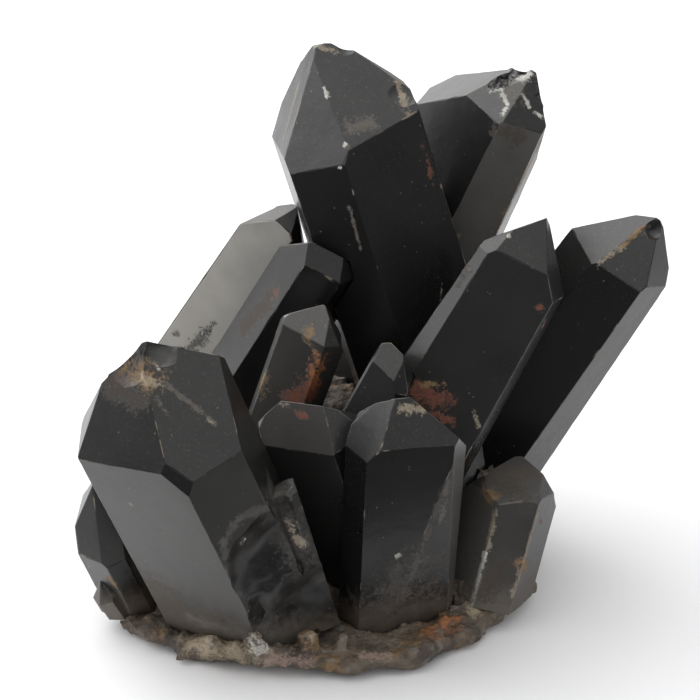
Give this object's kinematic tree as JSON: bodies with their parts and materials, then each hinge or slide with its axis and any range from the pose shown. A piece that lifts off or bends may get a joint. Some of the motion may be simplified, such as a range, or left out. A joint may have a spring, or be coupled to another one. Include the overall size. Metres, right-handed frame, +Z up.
{
  "type": "quartz crystal cluster",
  "caption": "Natural cluster of black morion quartz: six-sided pointed crystals fanning out of a rough brown matrix, which rests flat as a display specimen",
  "frame": {"origin": "middle of the flat underside's level, below the middle of the bounding box", "axes": "+Z up, -Y towards the picture's camera (the front), +X to the right of the picture"},
  "size_m": [0.1178, 0.107, 0.1108],
  "materials": {
    "morion": "nearly opaque black quartz, glassy flat faces, worn and chipped edges",
    "brown_matrix": "rough brown quartz rock with rusty and golden patches"
  },
  "bodies": {
    "root": {"tall_crystal": "morion", "rear_crystal": "morion", "right_inner_crystal": "morion", "right_outer_crystal": "morion", "left_crystal_pair": "morion", "front_left_crystal": "morion", "front_crystal_pair": "morion", "small_centre_crystal": "morion", "tiny_centre_crystal": "morion", "right_foot_crystal": "morion", "left_foot_crystals": "morion", "matrix": "brown_matrix"}
  },
  "joints": []
}
